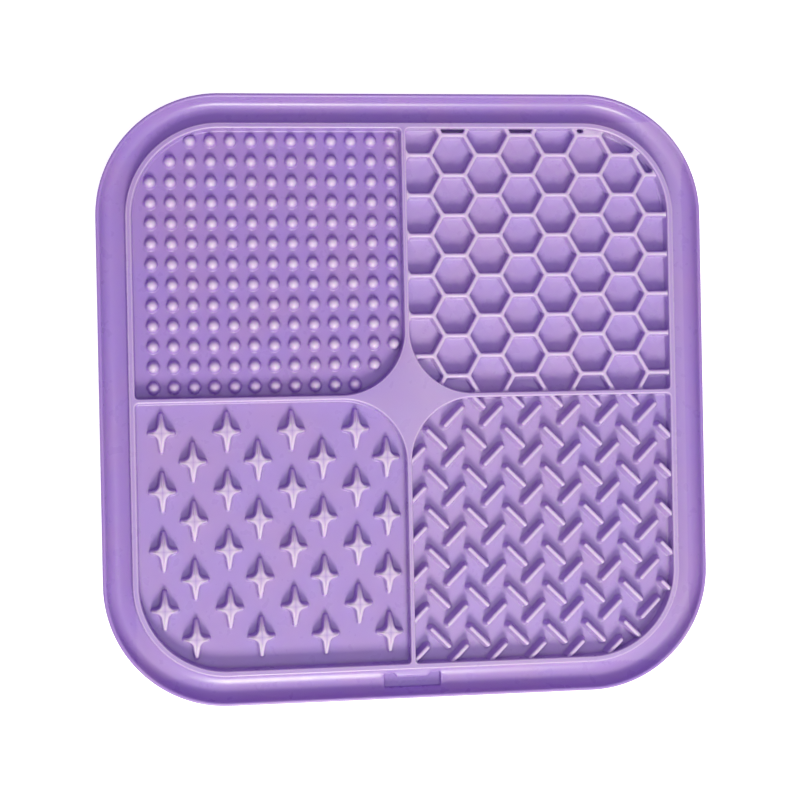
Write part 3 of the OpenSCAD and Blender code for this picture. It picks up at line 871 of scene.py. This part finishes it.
class LICKMAT_OT_stars(bpy.types.Operator):
    """Makes the four-pointed stars of the left front pocket"""
    bl_idname = "lickmat.stars"
    bl_label = "Stars"

    count = 4  # columns, and rows, of each of the two lattices
    nest_y = 0.5  # how far the second lattice is set to the front, in rows
    blunt = 0.92  # radius of a tip's two corners, as a part of half the tip's width
    loops = (0.85, 0.7, 0.55, 0.4, 0.2)  # loops of the top, from its edge to its middle
    sag_power = 8  # how fast the edge's round fades out over the top
    least_pale = 0.25  # part of the crest's painted highlight that is left in the middle
    fall_power = 2.4  # how late the arms fall on their way out

    def execute(self, context):
        sizes = context.scene.lick_mat_textures
        walls = context.scene.lick_mat_walls
        half_l, half_w, half_tip = sizes.star_length / 2, sizes.star_width / 2, sizes.star_tip / 2
        far_x, far_y = WALL_HIGH.x - walls.wall, WALL_HIGH.y - walls.wall
        first_x = sizes.star_gap_wall + half_w - far_x
        first_y = -walls.divider / 2 - sizes.star_gap_back - half_l
        room_x = far_x - walls.divider / 2 - sizes.star_gap_wall - sizes.star_gap_right - sizes.star_width
        room_y = far_y - walls.divider / 2 - sizes.star_gap_wall - sizes.star_gap_back - sizes.star_length
        pitch_x = room_x / (self.count - 1 + sizes.star_nest)
        pitch_y = room_y / (self.count - 1 + self.nest_y)
        quarter = [(half_w, half_tip), (sizes.star_hollow_x, sizes.star_hollow_y), (half_tip, half_l)]
        points = quarter + [(-x, y) for x, y in reversed(quarter)]
        points += [(-x, -y) for x, y in quarter] + [(x, -y) for x, y in reversed(quarter)]
        tip_radius = half_tip * self.blunt
        star = rounded(points, [tip_radius, sizes.star_fillet, tip_radius] * 4)
        room = [tip_radius if turn > 0 else sizes.star_edge for _, _, _, turn, _ in star]
        height = height_above_floor("star_field")
        # crest sets the painted highlight on the stars' round edges
        steps = edge_profile(height, sizes.star_edge, sizes.foot, draft=0.07, crest=0.85)
        skin = Skin()
        for i in range(self.count):
            for j in range(self.count):
                for nest_x, nest_y in ((0, 0), (sizes.star_nest, self.nest_y)):
                    x = first_x + (i + nest_x) * pitch_x
                    y = first_y - (j + nest_y) * pitch_y
                    self.star(skin, Vector((x, y)), star, steps, room, height, sizes)
        settle(skin.piece("stars", body_material(context.scene)), BODY_SLOT, "star_field")
        return {"FINISHED"}

    def star(self, skin, place, outline, steps, room, height, sizes):
        """
        One star with round edges, whose arms fall from its flat middle to the tips.

        room is how far the edge may be drawn in at each point of the outline.
        """
        edge = sizes.star_edge
        rings = []
        for out, z, pale in steps[:-1]:
            inset = min(edge, edge - math.sqrt(max(0, edge ** 2 - max(0, z - height + edge) ** 2)))
            ring, last = [], []
            for (x, y, radius, turn, angle), limit in zip(outline, room):
                rise = z
                reach = radius + turn * out
                if z >= height - edge:
                    depth = min(inset, limit)
                    reach = radius - turn * depth
                    rise = height - edge + math.sqrt(max(0, edge ** 2 - (edge - depth) ** 2))
                x, y = x + reach * math.cos(angle), y + reach * math.sin(angle)
                last.append((x, y, rise - height, pale))
                fall = self.fall(x, y, height, sizes)
                if rise >= height - edge:
                    rise -= fall
                elif rise > LIFT:
                    rise *= 1 - fall / (height - edge)
                ring.append(skin.point(place.x + x, place.y + y, rise, pale))
            rings.append(ring)
        # The painted highlight fades towards the middle of the top
        for part in self.loops:
            paler = self.least_pale + (1 - self.least_pale) * part
            rings.append([skin.point(place.x + x * part, place.y + y * part,
                                     height + sag * part ** self.sag_power
                                     - self.fall(x * part, y * part, height, sizes),
                                     pale * paler) for x, y, sag, pale in last])
        skin.bands(rings)
        skin.lid(rings[0], up=False)
        hub = skin.point(place.x, place.y, height)
        top = rings[-1]
        skin.faces += [(top[k], top[(k + 1) % len(top)], hub) for k in range(len(top))]

    def fall(self, x, y, height, sizes):
        """How much lower a star's top is at a distance from its middle."""
        flat = sizes.star_flat
        across = (abs(x) - flat) / (sizes.star_width / 2 - flat)
        along = (abs(y) - flat) / (sizes.star_length / 2 - flat)
        away = min(1, max(0, across, along))
        return (height - sizes.star_tip_height) * away ** self.fall_power


class LICKMAT_OT_bars(bpy.types.Operator):
    """Makes the herringbone of bars of the right front pocket"""
    bl_idname = "lickmat.bars"
    bl_label = "Bars"

    reach = 4  # rows and columns that are tried on each side of the pocket's middle
    into_wall = 0.7 * MM  # how far a bar that meets a wall runs into it
    shortest = 0.3  # least part of a bar that has to lie in the pocket
    round_end = 0.97  # radius of a bar's ends, as a part of half its thickness

    def execute(self, context):
        sizes = context.scene.lick_mat_textures
        pocket = pocket_polygon(context.scene, 1, -1)
        middle_x, middle_y = pocket_middle(context.scene.lick_mat_walls)
        half, thick = sizes.bar_length / 2, sizes.bar / 2
        # the default crest paints a highlight on the bars' round tops
        steps = edge_profile(height_above_floor("bar_field"), thick - RIB_CREST, sizes.foot, draft=0.2)
        skin = Skin()
        for i, j in lattice(self.reach):
            for lean in (-1, 1):
                slip = lean * sizes.bar_slip
                x = middle_x + sizes.bar_shift_x + slip + (i + lean / 4) * sizes.bar_pitch
                y = sizes.bar_shift_y - slip - middle_y - (j - lean / 4) * sizes.bar_pitch
                place = Vector((x, y))
                way = Vector((math.sqrt(0.5), -lean * math.sqrt(0.5)))
                first, last = span_inside(pocket, place, way)
                start = max(-half, first - self.into_wall)
                end = min(half, last + self.into_wall)
                inside = min(half, last) - max(-half, first)
                if inside > self.shortest * sizes.bar_length:
                    self.bar(skin, place, way, start, end, thick, steps)
        settle(skin.piece("bars", body_material(context.scene)), BODY_SLOT, "bar_field")
        return {"FINISHED"}

    def bar(self, skin, place, way, start, end, thick, steps):
        """One bar with round ends, from start to end along its way through a place."""
        side = Vector((-way.y, way.x)) * thick
        a, b = place + way * start, place + way * end
        points = [a - side, b - side, b + side, a + side]
        skin.raised(rounded([tuple(p) for p in points], [thick * self.round_end] * 4), steps)


class LICKMAT_OT_cups(bpy.types.Operator):
    """Makes the suction cups below the sheet, which all share one mesh"""
    bl_idname = "lickmat.cups"
    bl_label = "Suction cups"

    turns = 64  # points round a cup
    hollow_steps = 12
    rim_steps = 6
    neck_steps = 12
    flare = 1.25  # how much the neck's side hollows on its way to the rim
    into_sheet = 0.2 * MM  # how far the neck reaches into the sheet

    def execute(self, context):
        sizes = context.scene.lick_mat_cups
        finish = context.scene.lick_mat_finish
        low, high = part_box(CUP_NODES[0])
        section = self.section(sizes, (high.x - low.x) / 2, high.z)
        skin = Skin()
        # An outline without a radius of its own, which each loop draws out to the radius it needs.
        centre = [(0, 0, 0, 1, math.tau * k / self.turns) for k in range(self.turns)]
        rings = [skin.ring(centre, radius, z - FLOOR_Z) for radius, z in section]
        skin.bands(rings)
        skin.lid(rings[0], up=False)
        skin.lid(rings[-1])
        material = silicone("Cup silicone", finish.cup, finish.cup, finish.cup, finish)
        first = skin.piece("cup", material)
        for name in CUP_NODES:
            low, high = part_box(name)
            cup = bpy.data.objects.new(name.replace("suction_cup", "cup"), first.data)
            bpy.context.scene.collection.objects.link(cup)
            cup.location = ((low.x + high.x) / 2, (low.y + high.y) / 2, 0)
            settle(cup, CUP_SLOT, name)
        bpy.data.objects.remove(first)
        return {"FINISHED"}

    def section(self, sizes, rim, top):
        """Radius and height from the hollow's middle out to the rim and back up to the neck."""
        mouth = rim - sizes.ring
        dome = (mouth ** 2 + sizes.hollow ** 2) / (2 * sizes.hollow)
        section = []
        for k in range(1, self.hollow_steps + 1):
            radius = mouth * k / self.hollow_steps
            section.append((radius, sizes.hollow - dome + math.sqrt(dome ** 2 - radius ** 2)))
        half = sizes.rim / 2
        section.append((rim - half, 0))
        for k in range(1, self.rim_steps):
            angle = math.pi * k / self.rim_steps
            section.append((rim - half + half * math.sin(angle), half - half * math.cos(angle)))
        neck = sizes.neck / 2
        for k in range(1, self.neck_steps + 1):
            share_out = 1 - k / self.neck_steps
            section.append((neck + (rim - half - neck) * share_out ** self.flare,
                            sizes.rim + (top - sizes.rim) * (1 - share_out)))
        section.append((neck, top + self.into_sheet))
        return section


# Floor, light and camera

FLOOR_REACH = 2.5  # from the mat's middle to each side of the floor, in metres
FLOOR_ROUGHNESS = 0.9
FLOOR_GLOW = 0.85  # light that only the camera, gloss and glass see, so that the floor shows as white
KEY_SOFTBOX = {"place": (0.05, -1.6, 1.42), "size": (0.6, 0.65), "power": 43, "colour": (0.94, 1, 0.7)}
TOP_SOFTBOX = {"place": (0.1, -0.25, 1.0), "size": (0.6, 0.6), "power": 2.1, "colour": (1, 1, 1)}
ROOM_COLOUR = (0.74, 0.46, 1, 1)
ROOM_LIGHT = 0.38
PICTURE_WIDTH = 800  # in pixels
SENSOR, LENS = 36, 81  # in Blender's millimetres
SHIFT_X, SHIFT_Y = -0.5 / PICTURE_WIDTH, 0.5 / PICTURE_WIDTH  # half a pixel each way
TILT_X, TILT_Y, ROLL = 0.00624, 0.14495, 0.02074  # turns of the camera in radians
CAMERA_OFFSET = Vector((2.6228, 1.4094, -589.189)) * MM  # middle of the walls' tops, as the camera sees it


class LICKMAT_OT_stage(bpy.types.Operator):
    """Makes the pale floor, the soft light and the camera that looks down on the mat"""
    bl_idname = "lickmat.stage"
    bl_label = "Floor, light and camera"

    def execute(self, context):
        scene = context.scene
        scene.view_settings.view_transform = "Standard"
        self.floor(scene)
        self.world(scene)
        self.lamp(scene, "Key softbox", **KEY_SOFTBOX)
        self.lamp(scene, "Top softbox", **TOP_SOFTBOX)
        self.camera(scene)
        return {"FINISHED"}

    def floor(self, scene):
        """A floor that keeps the mat's shadow and shows white round it."""
        corners = [(-FLOOR_REACH, -FLOOR_REACH, 0), (FLOOR_REACH, -FLOOR_REACH, 0),
                   (FLOOR_REACH, FLOOR_REACH, 0), (-FLOOR_REACH, FLOOR_REACH, 0)]
        mesh = bpy.data.meshes.new("Floor")
        mesh.from_pydata(corners, [], [(0, 1, 2, 3)])
        floor = bpy.data.objects.new("Floor", mesh)
        scene.collection.objects.link(floor)
        material = bpy.data.materials.new("Pale floor")
        material.use_nodes = True
        tree = material.node_tree
        shader = tree.nodes["Principled BSDF"]
        shader.inputs["Base Color"].default_value = (*scene.lick_mat_finish.floor, 1)
        shader.inputs["Roughness"].default_value = FLOOR_ROUGHNESS
        shader.inputs["Specular IOR Level"].default_value = 0.0
        glow = tree.nodes.new("ShaderNodeEmission")
        glow.inputs["Strength"].default_value = FLOOR_GLOW
        both = tree.nodes.new("ShaderNodeAddShader")
        chosen = tree.nodes.new("ShaderNodeMixShader")
        link(tree, shader, "BSDF", both, 0)
        link(tree, glow, "Emission", both, 1)
        link(tree, self.seen_ray(tree), "Value", chosen, "Fac")
        link(tree, shader, "BSDF", chosen, 1)
        link(tree, both, "Shader", chosen, 2)
        link(tree, chosen, "Shader", tree.nodes["Material Output"], "Surface")
        mesh.materials.append(material)

    def seen_ray(self, tree):
        """1 for rays of the camera, and for those that gloss and glass send on."""
        rays = tree.nodes.new("ShaderNodeLightPath")
        first = tree.nodes.new("ShaderNodeMath")
        first.operation = "MAXIMUM"
        link(tree, rays, "Is Camera Ray", first, 0)
        link(tree, rays, "Is Glossy Ray", first, 1)
        second = tree.nodes.new("ShaderNodeMath")
        second.operation = "MAXIMUM"
        link(tree, first, "Value", second, 0)
        link(tree, rays, "Is Transmission Ray", second, 1)
        return second

    def world(self, scene):
        """Dim even light from all round, which shows as white behind the mat."""
        world = bpy.data.worlds.new("Studio")
        scene.world = world
        world.use_nodes = True
        tree = world.node_tree
        dim = tree.nodes["Background"]
        dim.inputs["Color"].default_value = ROOM_COLOUR
        dim.inputs["Strength"].default_value = ROOM_LIGHT
        white = tree.nodes.new("ShaderNodeBackground")
        white.inputs["Color"].default_value = (1, 1, 1, 1)
        chosen = tree.nodes.new("ShaderNodeMixShader")
        link(tree, self.seen_ray(tree), "Value", chosen, "Fac")
        link(tree, dim, "Background", chosen, 1)
        link(tree, white, "Background", chosen, 2)
        link(tree, chosen, "Shader", tree.nodes["World Output"], "Surface")

    def lamp(self, scene, name, place, size, power, colour):
        """A softbox, with its width and height, that faces the middle of the mat."""
        data = bpy.data.lights.new(name, "AREA")
        data.shape = "RECTANGLE"
        data.size, data.size_y = size
        data.energy = power
        data.color = colour
        lamp = bpy.data.objects.new(name, data)
        scene.collection.objects.link(lamp)
        lamp.location = place
        lamp.rotation_mode = "QUATERNION"
        lamp.rotation_quaternion = Vector(place).to_track_quat("Z", "Y")

    def camera(self, scene):
        """A camera almost straight above the mat, with its left side nearer."""
        data = bpy.data.cameras.new("Camera")
        data.sensor_width = SENSOR
        data.lens = LENS
        data.clip_start = 10 * MM
        data.shift_x = SHIFT_X
        data.shift_y = SHIFT_Y
        camera = bpy.data.objects.new("Camera", data)
        scene.collection.objects.link(camera)
        to_camera = (Matrix.Rotation(ROLL, 3, "Z") @ Matrix.Rotation(TILT_Y, 3, "Y")
                     @ Matrix.Rotation(TILT_X, 3, "X"))
        turned = to_camera.transposed()
        place = -(turned @ CAMERA_OFFSET) + Vector((0, 0, WALL_HIGH.z))
        camera.matrix_world = Matrix.Translation(place) @ turned.to_4x4()
        scene.camera = camera


class LICKMAT_PT_panel(bpy.types.Panel):
    """Lists the pieces and their sizes in the sidebar"""
    bl_idname = "LICKMAT_PT_panel"
    bl_label = "Lick mat"
    bl_space_type = "VIEW_3D"
    bl_region_type = "UI"
    bl_category = "Lick mat"

    def draw(self, context):
        for make in MAKERS:
            self.layout.operator(make.bl_idname)
        for name, kind in GROUPS.items():
            group = getattr(context.scene, name)
            box = self.layout.box()
            for field in kind.__annotations__:
                box.prop(group, field)


MAKERS = (LICKMAT_OT_sheet, LICKMAT_OT_rim, LICKMAT_OT_walls, LICKMAT_OT_dots, LICKMAT_OT_honeycomb,
          LICKMAT_OT_stars, LICKMAT_OT_bars, LICKMAT_OT_cups, LICKMAT_OT_stage)
GROUPS = {"lick_mat_rim": RimSizes, "lick_mat_walls": WallSizes, "lick_mat_textures": TextureSizes,
          "lick_mat_cups": CupSizes, "lick_mat_finish": MatFinish}


def register():
    """Adds the classes and the groups of sizes to Blender."""
    for kind in (*GROUPS.values(), *MAKERS, LICKMAT_PT_panel):
        bpy.utils.register_class(kind)
    for name, kind in GROUPS.items():
        setattr(bpy.types.Scene, name, bpy.props.PointerProperty(type=kind))


def unregister():
    """Takes them out again."""
    for name in GROUPS:
        delattr(bpy.types.Scene, name)
    for kind in (LICKMAT_PT_panel, *reversed(MAKERS), *reversed(GROUPS.values())):
        bpy.utils.unregister_class(kind)


def main():
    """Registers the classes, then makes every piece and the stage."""
    register()
    for make in MAKERS:
        group, name = make.bl_idname.split(".")
        getattr(getattr(bpy.ops, group), name)()


if __name__ == "__main__":
    main()
